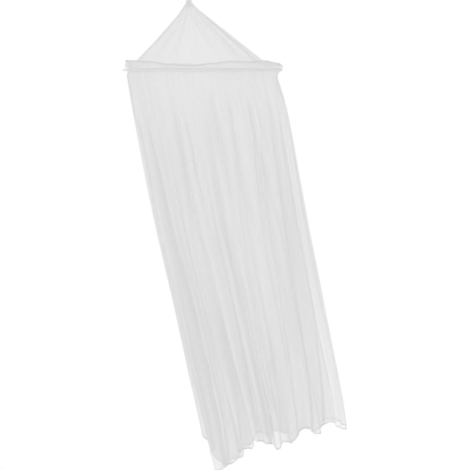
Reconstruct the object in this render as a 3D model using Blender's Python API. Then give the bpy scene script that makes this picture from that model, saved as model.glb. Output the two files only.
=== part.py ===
"""A hoop canopy of mosquito net: a tent-shaped top, a hoop in a cloth casing, and a long skirt.

Metres, +Z up. The origin is the top of the hanging loop, where a hook carries the canopy. The
skirt trails to +X as it falls, and its front faces -Y. Angles run from +X (0) by +Y (90, the back)
and -X (180) to -Y (270, the front).
"""

from math import cos, pi, radians, sin, sqrt, tau
from typing import NamedTuple

import bmesh
import bpy

# Driving dimensions
CLOTH = 0.0015  # thickness of every sheet of net
SEAT = 0.0004  # running gap between pieces that touch

HOOP_RADIUS = 0.2930  # to the middle of the rod
HOOP_ROD_RADIUS = 0.0035
HOOP_X = 0.0576  # the hoop hangs this far to the side of the loop
HOOP_Z = -0.283

LOOP_CORD_RADIUS = 0.0024


class LoopWidth(NamedTuple):
    """Half the distance between the loop's two strands, from middle to middle, at a height."""

    z: float
    half_width: float


LOOP_WIDTHS = (
    LoopWidth(-0.0024, 0.0022),
    LoopWidth(-0.0042, 0.0058),
    LoopWidth(-0.0085, 0.0080),
    LoopWidth(-0.0140, 0.0075),
    LoopWidth(-0.0185, 0.0048),
    LoopWidth(-0.0222, 0.0031),
    LoopWidth(-0.0280, 0.0029),
    LoopWidth(-0.0340, 0.0044),
    LoopWidth(-0.0390, 0.0050),
    LoopWidth(-0.0430, 0.0040),
    LoopWidth(-0.0445, 0.0016),
)


class Gather(NamedTuple):
    """The gathered neck of the tent at a height: its pleats run between two outside radii."""

    z: float
    crest: float
    valley: float


NECK = (
    Gather(-0.0185, 0.0140, 0.0100),
    Gather(-0.0225, 0.0115, 0.0080),
    Gather(-0.0275, 0.0112, 0.0078),
)
PLEATS = 12

CASING_INSIDE_RADIUS = HOOP_ROD_RADIUS + 0.0007
CASING_SIDE = CASING_INSIDE_RADIUS + CLOTH  # from the rod's middle to the casing's outer face
CHANNEL_HALF = CLOTH / 2 + SEAT  # half the slot that holds the tent's edge
TAB_ANGLE = 180  # the end of the casing's strip sticks out at its seam
TAB_OUT = 0.0105

# Directions round the hoop for the tent, the casing and the hoop, closer together at the tab
COLUMNS = tuple(sorted({*range(0, 360, 5), TAB_ANGLE - 1.2, TAB_ANGLE + 1.2}))


class BandEdge(NamedTuple):
    """How far the casing's upper edge stands above the middle of the rod, at an angle."""

    angle: float
    height: float


BAND_EDGES = (
    BandEdge(0, 0.014),
    BandEdge(20, 0.023),
    BandEdge(42, 0.031),
    BandEdge(72, 0.029),
    BandEdge(98, 0.020),
    BandEdge(115, 0.022),
    BandEdge(140, 0.031),
    BandEdge(180, 0.032),
    BandEdge(212, 0.033),
    BandEdge(228, 0.031),
    BandEdge(245, 0.021),
    BandEdge(262, 0.018),
    BandEdge(278, 0.026),
    BandEdge(292, 0.034),
    BandEdge(306, 0.030),
    BandEdge(320, 0.034),
    BandEdge(341, 0.022),
)

# The tent is taut along these lines and flat between them, so the hoop stands out past its sides.
TAUT_ANGLES = (46, 78, 118, 150, 210, 248, 294, 320)
CHORD_SHARE = 0.985  # of the hoop's radius, where a taut line reaches the casing
TENT_SAG = 0.0075  # inwards at half the height, on the -X side
SAG_START = 0.06  # share of the way down where it begins, below the loop's end
SHELF_SAG = 0.003  # the slack cloth between a taut face and the casing
TUCK = 0.008  # depth of the tent's edge inside the casing


class Section(NamedTuple):
    """The skirt's envelope, through the crests of its folds, at a drop below the hoop."""

    drop: float
    middle_x: float
    half_width: float
    half_depth: float


SKIRT_HEAD_RADIUS = HOOP_RADIUS - CASING_SIDE - 2 * SEAT
SECTIONS = (
    Section(-0.006, HOOP_X, SKIRT_HEAD_RADIUS, SKIRT_HEAD_RADIUS),
    Section(0.006, HOOP_X, SKIRT_HEAD_RADIUS, SKIRT_HEAD_RADIUS),
    Section(0.030, 0.0547, 0.2838, 0.2860),
    Section(0.150, 0.0788, 0.2932, 0.2860),
    Section(0.305, 0.1094, 0.2948, 0.2780),
    Section(0.590, 0.1624, 0.2938, 0.2620),
    Section(0.880, 0.2254, 0.2878, 0.2480),
    Section(1.165, 0.2850, 0.2870, 0.2360),
    Section(1.340, 0.3196, 0.2830, 0.2260),
    Section(1.530, 0.3446, 0.2760, 0.2180),
)


class Fold(NamedTuple):
    """One fold of the skirt: its crest, and the valley between it and the next crest."""

    head_angle: float
    hem_angle: float
    start: float  # drop below the hoop where it begins
    depth: float  # from crest to valley at the hem
    crest_drop: float  # length of the cloth below the hoop at the crest
    valley_drop: float


FOLDS = (
    Fold(12, 29, 0.09, 0.030, 1.362, 1.352),
    Fold(29, 45, 0.05, 0.042, 1.380, 1.392),
    Fold(48, 59, 0.14, 0.050, 1.422, 1.424),
    Fold(66, 74, 0.04, 0.058, 1.432, 1.418),
    Fold(85, 88, 0.10, 0.052, 1.424, 1.404),
    Fold(104, 103, 0.06, 0.062, 1.420, 1.430),
    Fold(121, 118, 0.16, 0.048, 1.486, 1.500),
    Fold(139, 134, 0.05, 0.050, 1.532, 1.520),
    Fold(159, 151, 0.08, 0.038, 1.510, 1.458),
    Fold(180, 184, 0.06, 0.034, 1.424, 1.462),
    Fold(202, 206, 0.07, 0.038, 1.526, 1.500),
    Fold(223, 224, 0.15, 0.048, 1.498, 1.464),
    Fold(239, 241, 0.05, 0.058, 1.436, 1.388),
    Fold(253, 254, 0.12, 0.048, 1.392, 1.396),
    Fold(267, 263, 0.07, 0.044, 1.398, 1.400),
    Fold(283, 271, 0.05, 0.052, 1.420, 1.398),
    Fold(302, 285, 0.10, 0.052, 1.376, 1.356),
    Fold(320, 304, 0.04, 0.040, 1.370, 1.334),
    Fold(338, 323, 0.13, 0.026, 1.330, 1.334),
    Fold(355, 351, 0.07, 0.028, 1.372, 1.350),
)

FOLD_COLUMNS = 8  # points across one fold
FOLD_SWELL = 0.034  # rounds the crests and valleys and steepens the sides between them
FOLD_GROWTH = 0.75  # how fast a fold deepens: 1 is evenly, less is sooner
FOLD_BOW = 4.0  # degrees by which the folds bow at half their height
SKIRT_ROWS = (0.03, 0.07, 0.12, 0.18, 0.26, 0.36, 0.47, 0.58, 0.69, 0.80, 0.91, 1.0)


def eased(t):
    """0 to 1 with level ends."""
    t = max(0.0, min(1.0, t))
    return t * t * (3 - 2 * t)


def mixed(a, b, t):
    return a + (b - a) * t


def band_height(angle):
    """The casing's height above the rod's middle at an angle, with rounded rises between the rows."""
    angle %= 360
    rows = list(BAND_EDGES) + [BandEdge(BAND_EDGES[0].angle + 360, BAND_EDGES[0].height)]
    for low, high in zip(rows, rows[1:]):
        if low.angle <= angle <= high.angle:
            share = (angle - low.angle) / (high.angle - low.angle)
            return mixed(low.height, high.height, eased(share))
    raise ValueError(angle)


def section_at(drop):
    """The skirt's envelope at a drop, as a smooth curve through the rows (Catmull-Rom)."""
    last = len(SECTIONS) - 2
    i = max(0, min(last, sum(row.drop <= drop for row in SECTIONS) - 1))
    before, low = SECTIONS[max(0, i - 1)], SECTIONS[i]
    high, after = SECTIONS[i + 1], SECTIONS[min(last + 1, i + 2)]
    span = high.drop - low.drop
    t = max(0.0, min(1.0, (drop - low.drop) / span))
    found = []
    for value in range(1, 4):
        slope_in = (high[value] - before[value]) / (high.drop - before.drop) * span
        slope_out = (after[value] - low[value]) / (after.drop - low.drop) * span
        found.append(
            (2 * t**3 - 3 * t**2 + 1) * low[value]
            + (t**3 - 2 * t**2 + t) * slope_in
            + (3 * t**2 - 2 * t**3) * high[value]
            + (t**3 - t**2) * slope_out
        )
    return found


def face_share(angle):
    """The tent's radius at an angle, as a share of that on its taut lines: flat from line to line."""
    angle %= 360
    lines = [TAUT_ANGLES[-1] - 360, *TAUT_ANGLES, TAUT_ANGLES[0] + 360]
    for low, high in zip(lines, lines[1:]):
        if low <= angle <= high:
            half = radians(high - low) / 2
            return cos(half) / cos(radians(angle - (low + high) / 2))
    raise ValueError(angle)


def sheet_object(name, rings, material):
    """A sheet of net from rings of points, first ring at the top, thickened inwards by Solidify."""
    mesh = bpy.data.meshes.new(name)
    around = len(rings[0])
    points = [point for ring in rings for point in ring]
    faces = []
    for row in range(len(rings) - 1):
        for column in range(around):
            following = (column + 1) % around
            upper, lower = row * around, (row + 1) * around
            faces.append((upper + column, lower + column, lower + following, upper + following))
    mesh.from_pydata(points, [], faces)
    mesh.materials.append(material)
    mesh.shade_smooth()
    sheet = bpy.data.objects.new(name, mesh)
    bpy.context.scene.collection.objects.link(sheet)
    thickness = sheet.modifiers.new("Cloth", "SOLIDIFY")
    thickness.thickness = CLOTH
    thickness.offset = -1
    return sheet


def material(name, colour, roughness):
    made = bpy.data.materials.new(name)
    made.use_nodes = True
    shader = made.node_tree.nodes["Principled BSDF"]
    shader.inputs["Base Color"].default_value = (*colour, 1)
    shader.inputs["Roughness"].default_value = roughness
    shader.inputs["Metallic"].default_value = 0
    return made


def polar(middle_x, radius, angle, z):
    return (middle_x + radius * cos(radians(angle)), radius * sin(radians(angle)), z)


def build_hoop(plastic):
    """The rod that holds the canopy open, bent into a ring."""
    mesh = bmesh.new()
    sides = 8
    rings = []
    for angle in COLUMNS:
        ring = []
        for side in range(sides):
            turn = tau * (side + 0.5) / sides
            radius = HOOP_RADIUS + HOOP_ROD_RADIUS * cos(turn)
            ring.append(mesh.verts.new(polar(HOOP_X, radius, angle, HOOP_Z + HOOP_ROD_RADIUS * sin(turn))))
        rings.append(ring)
    for ring, following in zip(rings, rings[1:] + rings[:1]):
        for side in range(sides):
            other = (side + 1) % sides
            mesh.faces.new((ring[side], following[side], following[other], ring[other]))
    bmesh.ops.recalc_face_normals(mesh, faces=mesh.faces)
    data = bpy.data.meshes.new("hoop")
    mesh.to_mesh(data)
    mesh.free()
    data.materials.append(plastic)
    data.shade_smooth()
    hoop = bpy.data.objects.new("hoop", data)
    bpy.context.scene.collection.objects.link(hoop)
    return hoop


def casing_profile(angle):
    """(distance out from the rod's circle, height over its middle), down the outside and up the inside."""
    top = band_height(angle)
    lip = CHANNEL_HALF + CLOTH
    arc_degrees = (0, -36, -72, -108, -144, -180)
    under = [(CASING_SIDE * cos(radians(a)), CASING_SIDE * sin(radians(a))) for a in arc_degrees]
    if angle == TAB_ANGLE:
        under[0] = (under[0][0] + TAB_OUT, 0)
        under[1] = (under[1][0] + TAB_OUT, under[1][1])
    shoulder = 0.45 * top
    outside = [(lip, top), (mixed(CASING_SIDE, lip, 0.7), shoulder)]
    inside = [(-mixed(CASING_SIDE, lip, 0.7), shoulder), (-lip, top - 0.006)]
    return outside + under + inside


def build_casing(net):
    """A strip folded up round the rod. Its two edges stand above the rod and hold the tent's edge."""
    profiles = [casing_profile(angle) for angle in COLUMNS]
    rings = []
    for step in range(len(profiles[0])):
        ring = []
        for angle, profile in zip(COLUMNS, profiles):
            out, height = profile[step]
            ring.append(polar(HOOP_X, HOOP_RADIUS + out, angle, HOOP_Z + height))
        rings.append(ring)
    return sheet_object("hoop_casing", rings, net)


def pleated(gather, angle):
    share = (1 - cos(radians(PLEATS * angle))) / 2
    return mixed(gather.valley, gather.crest, share)


def tent_point(angle, down):
    """A point of the tent's outer face: down runs from 0 at the neck to 1 at the casing's edge."""
    neck = NECK[-1]
    z = mixed(neck.z, HOOP_Z + band_height(angle), down)
    middle_x = HOOP_X * down
    sag = TENT_SAG * 4 * down * (1 - down) * eased((down - SAG_START) / 0.2)
    sag *= max(0.0, -cos(radians(angle)))
    taut = (HOOP_RADIUS + CLOTH / 2) * CHORD_SHARE * down - sag
    flat = taut * mixed(1, face_share(angle), eased(down / 0.08))
    return polar(middle_x, sqrt((pleated(neck, angle) * (1 - down)) ** 2 + flat**2), angle, z)


def build_tent(net):
    """The top: gathered at the neck, taut over the eight lines, and tucked into the casing."""
    neck = [[polar(0, pleated(gather, a), a, gather.z) for a in COLUMNS] for gather in NECK]
    rows = (0.02, 0.05, 0.1, 0.2, 0.4, 0.65, 0.85, 1.0)
    faces = [[tent_point(a, down) for a in COLUMNS] for down in rows]
    edge_radius = HOOP_RADIUS + CLOTH / 2
    shelf = []
    for a, (x, y, z) in zip(COLUMNS, faces[-1]):
        inner = sqrt((x - HOOP_X) ** 2 + y**2)
        slack = (edge_radius - inner) / edge_radius
        drop = SHELF_SAG * min(1.0, slack / 0.1)
        shelf.append(polar(HOOP_X, mixed(inner, edge_radius, 0.5), a, z - drop))
    lip = [polar(HOOP_X, edge_radius, a, HOOP_Z + band_height(a) + 0.002) for a in COLUMNS]
    tuck = [polar(HOOP_X, edge_radius, a, HOOP_Z + band_height(a) - TUCK) for a in COLUMNS]
    return sheet_object("tent_top", [*neck, *faces, shelf, lip, tuck], net)


def fold_at(position, drop_share):
    """(angle, inward offset, cloth's drop) of the skirt at a place counted in folds from the first."""
    count = len(FOLDS)
    index = int(position) % count
    across = position - int(position)
    this, following = FOLDS[index], FOLDS[(index + 1) % count]
    turn = 360 if index + 1 == count else 0
    crest = mixed(this.head_angle, this.hem_angle, drop_share)
    next_crest = mixed(following.head_angle, following.hem_angle, drop_share) + turn
    swollen = across + FOLD_SWELL * sin(2 * tau * across) * eased(drop_share * 2)
    valley = (1 - cos(tau * across)) / 2
    if across < 0.5:
        cloth_drop = mixed(this.crest_drop, this.valley_drop, valley)
    else:
        cloth_drop = mixed(following.crest_drop, this.valley_drop, valley)
    depth = mixed(this.depth, following.depth, across)
    start = mixed(this.start, following.start, across)
    drop = cloth_drop * drop_share
    grown = max(0.0, (drop - start) / (cloth_drop - start)) ** FOLD_GROWTH
    angle = mixed(crest, next_crest, swollen) - FOLD_BOW * sin(pi * drop_share)
    return angle, depth * grown * valley, drop


def build_skirt(net):
    """The skirt: sewn to the inner face of the casing, then in folds that deepen to the hem."""
    columns = len(FOLDS) * FOLD_COLUMNS
    rings = []
    for height in (0.006, -0.006):
        middle_x, radius, _ = section_at(-height)
        ring = []
        for column in range(columns):
            angle, _, _ = fold_at(column / FOLD_COLUMNS, 0)
            ring.append(polar(middle_x, radius, angle, HOOP_Z + height))
        rings.append(ring)
    for drop_share in SKIRT_ROWS:
        ring = []
        for column in range(columns):
            angle, inward, drop = fold_at(column / FOLD_COLUMNS, drop_share)
            middle_x, half_width, half_depth = section_at(drop)
            x = middle_x + (half_width - inward) * cos(radians(angle))
            y = (half_depth - inward) * sin(radians(angle))
            ring.append((x, y, HOOP_Z - drop))
        rings.append(ring)
    return sheet_object("skirt", rings, net)


def build_loop(cord):
    """The hanging loop: cord that runs down through the neck and spreads out below it, so it holds."""
    curve = bpy.data.curves.new("hanging_loop", "CURVE")
    curve.dimensions = "3D"
    curve.bevel_depth = LOOP_CORD_RADIUS
    curve.bevel_resolution = 2
    spline = curve.splines.new("POLY")
    path = [(1, row) for row in LOOP_WIDTHS] + [(-1, row) for row in reversed(LOOP_WIDTHS)]
    spline.points.add(len(path) - 1)
    for point, (side, row) in zip(spline.points, path):
        point.co = (side * row.half_width, 0, row.z, 1)
    spline.use_cyclic_u = True
    curve.materials.append(cord)
    loop = bpy.data.objects.new("hanging_loop", curve)
    bpy.context.scene.collection.objects.link(loop)
    return loop


def main():
    for old in list(bpy.data.objects):
        bpy.data.objects.remove(old)
    net = material("net", (0.86, 0.86, 0.87), 0.85)
    cord = material("cord", (0.84, 0.84, 0.85), 0.8)
    plastic = material("hoop_plastic", (0.88, 0.88, 0.87), 0.45)
    build_loop(cord)
    build_tent(net)
    build_casing(net)
    build_hoop(plastic)
    build_skirt(net)


main()
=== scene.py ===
"""The mosquito net canopy dressed for the photograph: net, seams, hems, casing, loop and hoop.

Metres, +Z up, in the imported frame. Angles are in degrees round the hoop: 0 at +X, 90 at the back,
180 at -X and 270 in front. The sizes and tables under "Sizes shared with the part" repeat the
part's, so each sheet follows its solid, with finer folds, creases and a weave of its own. They
differ from it in these places, where the photograph shows more than the solids hold:

- BAND_EDGES is 1 to 4.5 mm lower from 72 to 140 degrees, and 1.5 to 3 mm higher at 180 and 212.
- SECTIONS has a row at a drop of 0.016, and lies further to -X at 0.030.
- HEM_DROPS gives the hem its small lobes.
"""

from math import pi, radians, tau
from typing import NamedTuple

import bmesh
import bpy
import numpy as np
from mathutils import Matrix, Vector


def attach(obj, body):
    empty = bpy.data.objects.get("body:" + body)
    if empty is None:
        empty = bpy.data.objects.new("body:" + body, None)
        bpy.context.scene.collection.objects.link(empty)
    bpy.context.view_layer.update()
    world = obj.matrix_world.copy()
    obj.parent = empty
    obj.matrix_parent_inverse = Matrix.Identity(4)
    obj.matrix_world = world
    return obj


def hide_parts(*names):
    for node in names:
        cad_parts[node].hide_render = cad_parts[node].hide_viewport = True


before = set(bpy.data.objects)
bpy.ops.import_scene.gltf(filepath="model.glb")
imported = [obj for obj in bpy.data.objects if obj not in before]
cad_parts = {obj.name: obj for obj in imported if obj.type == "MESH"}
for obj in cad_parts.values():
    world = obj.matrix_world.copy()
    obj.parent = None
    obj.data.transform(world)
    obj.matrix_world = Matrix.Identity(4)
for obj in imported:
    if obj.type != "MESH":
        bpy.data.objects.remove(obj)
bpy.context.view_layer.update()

# ---------------------------------------------------------------------------------------------
# Sizes shared with the part

CLOTH = 0.0015  # thickness of the part's sheets
HOOP_RADIUS, HOOP_ROD = 0.2930, 0.0035  # to the middle of the rod, and the rod's own radius
HOOP_X, HOOP_Z = 0.0576, -0.283
SEAT = 0.0004  # gap between pieces that are sewn together
CASING_SIDE = HOOP_ROD + 0.0007 + CLOTH  # from the rod's middle to the casing's outer face
HEAD_RADIUS = HOOP_RADIUS - CASING_SIDE - 2 * SEAT
TAB_ANGLE, TAB_OUT = 180, 0.0105  # where the end of the casing's strip sticks out, and how far

# angle, height of the casing's upper edge over the rod's middle
BAND_EDGES = np.array(
    [
        (0, 0.014), (20, 0.023), (42, 0.031), (72, 0.028), (98, 0.0165), (115, 0.0175),
        (140, 0.030), (180, 0.035), (212, 0.0345), (228, 0.031), (245, 0.021), (262, 0.018),
        (278, 0.026), (292, 0.034), (306, 0.030), (320, 0.034), (341, 0.022),
    ]
)  # fmt: skip

TAUT_ANGLES = (46, 78, 118, 150, 210, 248, 294, 320)  # the top's taut lines, with a seam on each
TENT_SAG = 0.0075  # inwards at half the height, on the -X side
SAG_START = 0.06  # share of the way down where it begins
CHORD_SHARE = 0.985  # of the edge's radius, where a taut line reaches the casing
SHELF_SAG = 0.003  # of the slack cloth between a taut face and the casing

# height, radius of the pleats' crests and of their valleys
NECK = np.array([(-0.0185, 0.0140, 0.0100), (-0.0225, 0.0115, 0.0080), (-0.0275, 0.0112, 0.0078)])
PLEATS = 12

# drop below the hoop, middle in x, half the width, half the depth
SECTIONS = np.array(
    [
        (-0.006, HOOP_X, HEAD_RADIUS, HEAD_RADIUS),
        (0.006, HOOP_X, HEAD_RADIUS, HEAD_RADIUS),
        (0.016, 0.0510, 0.2860, 0.2862),
        (0.030, 0.0503, 0.2842, 0.2860),
        (0.150, 0.0788, 0.2932, 0.2860),
        (0.305, 0.1094, 0.2948, 0.2780),
        (0.590, 0.1624, 0.2938, 0.2620),
        (0.880, 0.2254, 0.2878, 0.2480),
        (1.165, 0.2850, 0.2870, 0.2360),
        (1.340, 0.3196, 0.2830, 0.2260),
        (1.530, 0.3446, 0.2760, 0.2180),
    ]
)

# crest's angle at the head, at the hem, drop where it begins, depth, crest's drop, valley's drop
FOLDS = np.array(
    [
        (12, 29, 0.09, 0.030, 1.362, 1.352),
        (29, 45, 0.05, 0.042, 1.380, 1.392),
        (48, 59, 0.14, 0.050, 1.422, 1.424),
        (66, 74, 0.04, 0.058, 1.432, 1.418),
        (85, 88, 0.10, 0.052, 1.424, 1.404),
        (104, 103, 0.06, 0.062, 1.420, 1.430),
        (121, 118, 0.16, 0.048, 1.486, 1.500),
        (139, 134, 0.05, 0.050, 1.532, 1.520),
        (159, 151, 0.08, 0.038, 1.510, 1.458),
        (180, 184, 0.06, 0.034, 1.424, 1.462),
        (202, 206, 0.07, 0.038, 1.526, 1.500),
        (223, 224, 0.15, 0.048, 1.498, 1.464),
        (239, 241, 0.05, 0.058, 1.436, 1.388),
        (253, 254, 0.12, 0.048, 1.392, 1.396),
        (267, 263, 0.07, 0.044, 1.398, 1.400),
        (283, 271, 0.05, 0.052, 1.420, 1.398),
        (302, 285, 0.10, 0.052, 1.376, 1.356),
        (320, 304, 0.04, 0.040, 1.370, 1.334),
        (338, 323, 0.13, 0.026, 1.330, 1.334),
        (355, 351, 0.07, 0.028, 1.372, 1.350),
    ]
)
FOLD_SWELL = 0.034  # rounds the crests and valleys and steepens the sides between them
FOLD_GROWTH = 0.75  # how fast a fold deepens: 1 is evenly, less is sooner
FOLD_BOW = 4.0  # degrees by which the folds bow at half their height

# height, half the distance between the loop's two strands
LOOP = np.array(
    [
        (-0.0024, 0.0022), (-0.0042, 0.0058), (-0.0085, 0.0080), (-0.0140, 0.0075),
        (-0.0185, 0.0048), (-0.0222, 0.0031), (-0.0280, 0.0029), (-0.0340, 0.0044),
        (-0.0390, 0.0050), (-0.0430, 0.0040), (-0.0445, 0.0016),
    ]
)  # fmt: skip

# ---------------------------------------------------------------------------------------------
# Small helpers


def eased(t):
    t = np.clip(t, 0.0, 1.0)
    return t * t * (3 - 2 * t)


def mixed(a, b, t):
    return a + (b - a) * t


def bump(t):
    """1 at 0, falling smoothly to 0 at 1 and -1."""
    return eased(1 - np.abs(t))


def away_from(angle, middle):
    """Degrees from middle to angle, -180 to 180."""
    return (angle - middle + 180) % 360 - 180


def unit(vectors):
    return vectors / np.linalg.norm(vectors, axis=1, keepdims=True)


def round_hoop(rows, angle, ease=False):
    """A table's value at an angle, right round the hoop, in straight or eased steps."""
    keys, values = np.vstack([rows, [360 + rows[0, 0], rows[0, 1]]]).T
    x = np.asarray(angle, float) % 360
    i = np.clip(np.searchsorted(keys, x, side="right") - 1, 0, len(keys) - 2)
    t = np.clip((x - keys[i]) / (keys[i + 1] - keys[i]), 0, 1)
    return mixed(values[i], values[i + 1], eased(t) if ease else t)


def band_height(angle):
    return round_hoop(BAND_EDGES, angle, ease=True)


def section_at(drop):
    """Middle, half width and half depth of the skirt's envelope at a drop (Catmull-Rom)."""
    keys, last = SECTIONS[:, 0], len(SECTIONS) - 2
    i = np.clip(np.searchsorted(keys, drop, side="right") - 1, 0, last)
    b, lo, hi, a = (SECTIONS[np.clip(i + k, 0, last + 1)] for k in (-1, 0, 1, 2))
    span = hi[..., 0] - lo[..., 0]
    t = np.clip((drop - lo[..., 0]) / span, 0, 1)
    found = []
    for v in (1, 2, 3):
        slope_in = (hi[..., v] - b[..., v]) / (hi[..., 0] - b[..., 0]) * span
        slope_out = (a[..., v] - lo[..., v]) / (a[..., 0] - lo[..., 0]) * span
        found.append(
            (2 * t**3 - 3 * t**2 + 1) * lo[..., v]
            + (t**3 - 2 * t**2 + t) * slope_in
            + (3 * t**2 - 2 * t**3) * hi[..., v]
            + (t**3 - t**2) * slope_out
        )
    return found


def streaks(seed, around, down, p, s):
    """Smooth random streaks, -1 to 1: p runs once round from 0 to 1, s from 0 to 1 down."""
    knots = np.random.default_rng(seed).uniform(-1, 1, (down + 3, around))
    x, y = (p % 1.0) * around, np.clip(s, 0, 1) * down
    xi, yi = np.floor(x).astype(int), np.floor(y).astype(int)
    xt, yt = eased(x - xi), eased(y - yi)
    left, right = xi % around, (xi + 1) % around
    yi = np.clip(yi, 0, down + 1)
    upper = mixed(knots[yi, left], knots[yi, right], xt)
    lower = mixed(knots[yi + 1, left], knots[yi + 1, right], xt)
    return mixed(upper, lower, yt)


class Grain(NamedTuple):
    """A layer of small random folds: its seed, how many lie round and down the cloth, its size."""

    seed: int
    around: int
    down: int
    size: float

    def at(self, p, s=0.0):
        return self.size * streaks(self.seed, self.around, self.down, p, s)


def ring_of(angle, radius, z, x=0.0):
    """Points round a circle whose middle is at x. Its radius and height may follow the angle."""
    a = np.radians(angle)
    return np.stack(np.broadcast_arrays(x + radius * np.cos(a), radius * np.sin(a), z), -1)


def length_round(points):
    """How long each row of a grid is, right round."""
    return np.linalg.norm(np.roll(points, -1, 1) - points, axis=2).sum(1)


def length_down(points):
    """How far down the cloth each row of a grid lies, on average."""
    return np.concatenate([[0], np.cumsum(np.linalg.norm(np.diff(points, axis=0), axis=2).mean(1))])


def weave_at(u, v):
    """The weave's coordinates on a grid, in metres: u across it and v down it."""
    return np.stack(np.broadcast_arrays(u, v[:, None]), -1)


def normals_of(points):
    """Unit normals of a grid of points that closes round, rows by columns, facing out."""
    across = np.roll(points, -1, 1) - np.roll(points, 1, 1)
    n = np.cross(np.gradient(points, axis=0), across)
    return n / np.maximum(np.linalg.norm(n, axis=2, keepdims=True), 1e-12)


def set_gather(mesh, times):
    """Sets how many times its own width the cloth is gathered, at each point or all over."""
    values = np.broadcast_to(np.ravel(times), len(mesh.vertices)).astype(np.float32)
    mesh.attributes.new("gather", "FLOAT", "POINT").data.foreach_set("value", values)


def sheet_mesh(name, points, uv, material, gather=None):
    """A smooth sheet that closes round, from a grid of points and its weave's coordinates.

    uv holds one more column than the points, for the edge where the sheet meets itself.
    """
    rows, cols = points.shape[:2]
    r, c = np.meshgrid(np.arange(rows - 1), np.arange(cols), indexing="ij")
    nxt = (c + 1) % cols
    quads = np.stack([r * cols + c, (r + 1) * cols + c, (r + 1) * cols + nxt, r * cols + nxt], -1)
    quads = quads.reshape(-1, 4)
    mesh = bpy.data.meshes.new(name)
    mesh.vertices.add(rows * cols)
    mesh.vertices.foreach_set("co", points.reshape(-1).astype(np.float32))
    mesh.loops.add(len(quads) * 4)
    mesh.loops.foreach_set("vertex_index", quads.reshape(-1).astype(np.int32))
    mesh.polygons.add(len(quads))
    mesh.polygons.foreach_set("loop_start", np.arange(0, len(quads) * 4, 4, dtype=np.int32))
    corner = np.stack([uv[r, c], uv[r + 1, c], uv[r + 1, c + 1], uv[r, c + 1]], 2).reshape(-1, 2)
    layer = mesh.uv_layers.new(name="UVMap")
    layer.data.foreach_set("uv", corner.reshape(-1).astype(np.float32))
    if gather is not None:
        set_gather(mesh, gather)
    mesh.update()
    mesh.validate()
    mesh.materials.append(material)
    mesh.shade_smooth()
    piece = bpy.data.objects.new(name, mesh)
    bpy.context.scene.collection.objects.link(piece)
    return piece


def tube_mesh(name, path, across, out, half_width, half_thick, material, sides=8, closed=True):
    """A flattened tube along a path: across and out are unit vectors at each point of it."""
    turn = np.arange(sides) / sides * tau
    ring = (
        path[None]
        + across[None] * np.cos(turn)[:, None, None] * half_width
        + out[None] * np.sin(turn)[:, None, None] * half_thick
    )
    points = np.transpose(ring, (1, 0, 2))  # path by sides
    steps = np.linalg.norm(np.diff(path, axis=0, append=path[:1]), axis=1)
    v = np.concatenate([[0], np.cumsum(steps)])[: len(path)]
    u = np.arange(sides + 1) / sides * 2 * (half_width + half_thick)
    if closed:
        points = np.concatenate([points, points[:1]])
        v = np.concatenate([v, [v[-1] + steps[-1]]])
    piece = sheet_mesh(name, points, weave_at(u, v), material)
    cleaned = bmesh.new()
    cleaned.from_mesh(piece.data)
    if closed:
        bmesh.ops.remove_doubles(cleaned, verts=cleaned.verts, dist=1e-7)
    else:
        rims = [e for e in cleaned.edges if e.is_boundary]
        bmesh.ops.holes_fill(cleaned, edges=rims)
    bmesh.ops.recalc_face_normals(cleaned, faces=cleaned.faces)
    cleaned.to_mesh(piece.data)
    cleaned.free()
    return piece


# ---------------------------------------------------------------------------------------------
# Materials


class Nodes:
    """A short way to write a node tree."""

    def __init__(self, name):
        self.material = bpy.data.materials.new(name)
        self.material.use_nodes = True
        self.tree = self.material.node_tree
        self.shader = self.tree.nodes["Principled BSDF"]

    def feed(self, socket, value):
        """Links a socket to another one, or sets its value."""
        if isinstance(value, bpy.types.NodeSocket):
            self.tree.links.new(value, socket)
        else:
            socket.default_value = value

    def put(self, kind, inputs=(), **settings):
        node = self.tree.nodes.new(kind)
        for key, value in settings.items():
            setattr(node, key, value)
        for key, value in dict(inputs).items():
            self.feed(node.inputs[key], value)
        return node

    def math(self, operation, a, b=0.0, c=0.0, clamp=False):
        node = self.put("ShaderNodeMath", operation=operation, use_clamp=clamp)
        for socket, value in zip(node.inputs, (a, b, c)):
            self.feed(socket, value)
        return node.outputs[0]

    def vector(self, operation, a, b=(0.0, 0.0, 0.0), out=0):
        node = self.put("ShaderNodeVectorMath", operation=operation)
        for socket, value in zip(node.inputs, (a, b)):
            self.feed(socket, value)
        return node.outputs[out]

    def noise(self, place, scale, detail):
        return self.put("ShaderNodeTexNoise", {"Vector": place, "Scale": scale, "Detail": detail})

    def bumps(self, height, distance, strength):
        inputs = {"Height": height, "Distance": distance, "Strength": strength}
        return self.put("ShaderNodeBump", inputs).outputs[0]

    def set(self, **values):
        for key, value in values.items():
            self.feed(self.shader.inputs[key.replace("_", " ")], value)


MESH_PITCH = 0.0016  # from hole to hole
WEAVE_TURN = 15.0  # degrees between the knit's rows and the cloth's edge
THREAD_RIM = 0.012  # half the width of a thread's soft rim, in pitches
LEAST_FACING = 0.26  # how squarely cloth faces, at the least, where it is seen aslant
CLOSES, CLOSES_ASLANT = 0.31, 0.20  # how fast gathers close the holes, and more so seen aslant
FLECK = 0.06  # how much a thread's brightness varies


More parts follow.
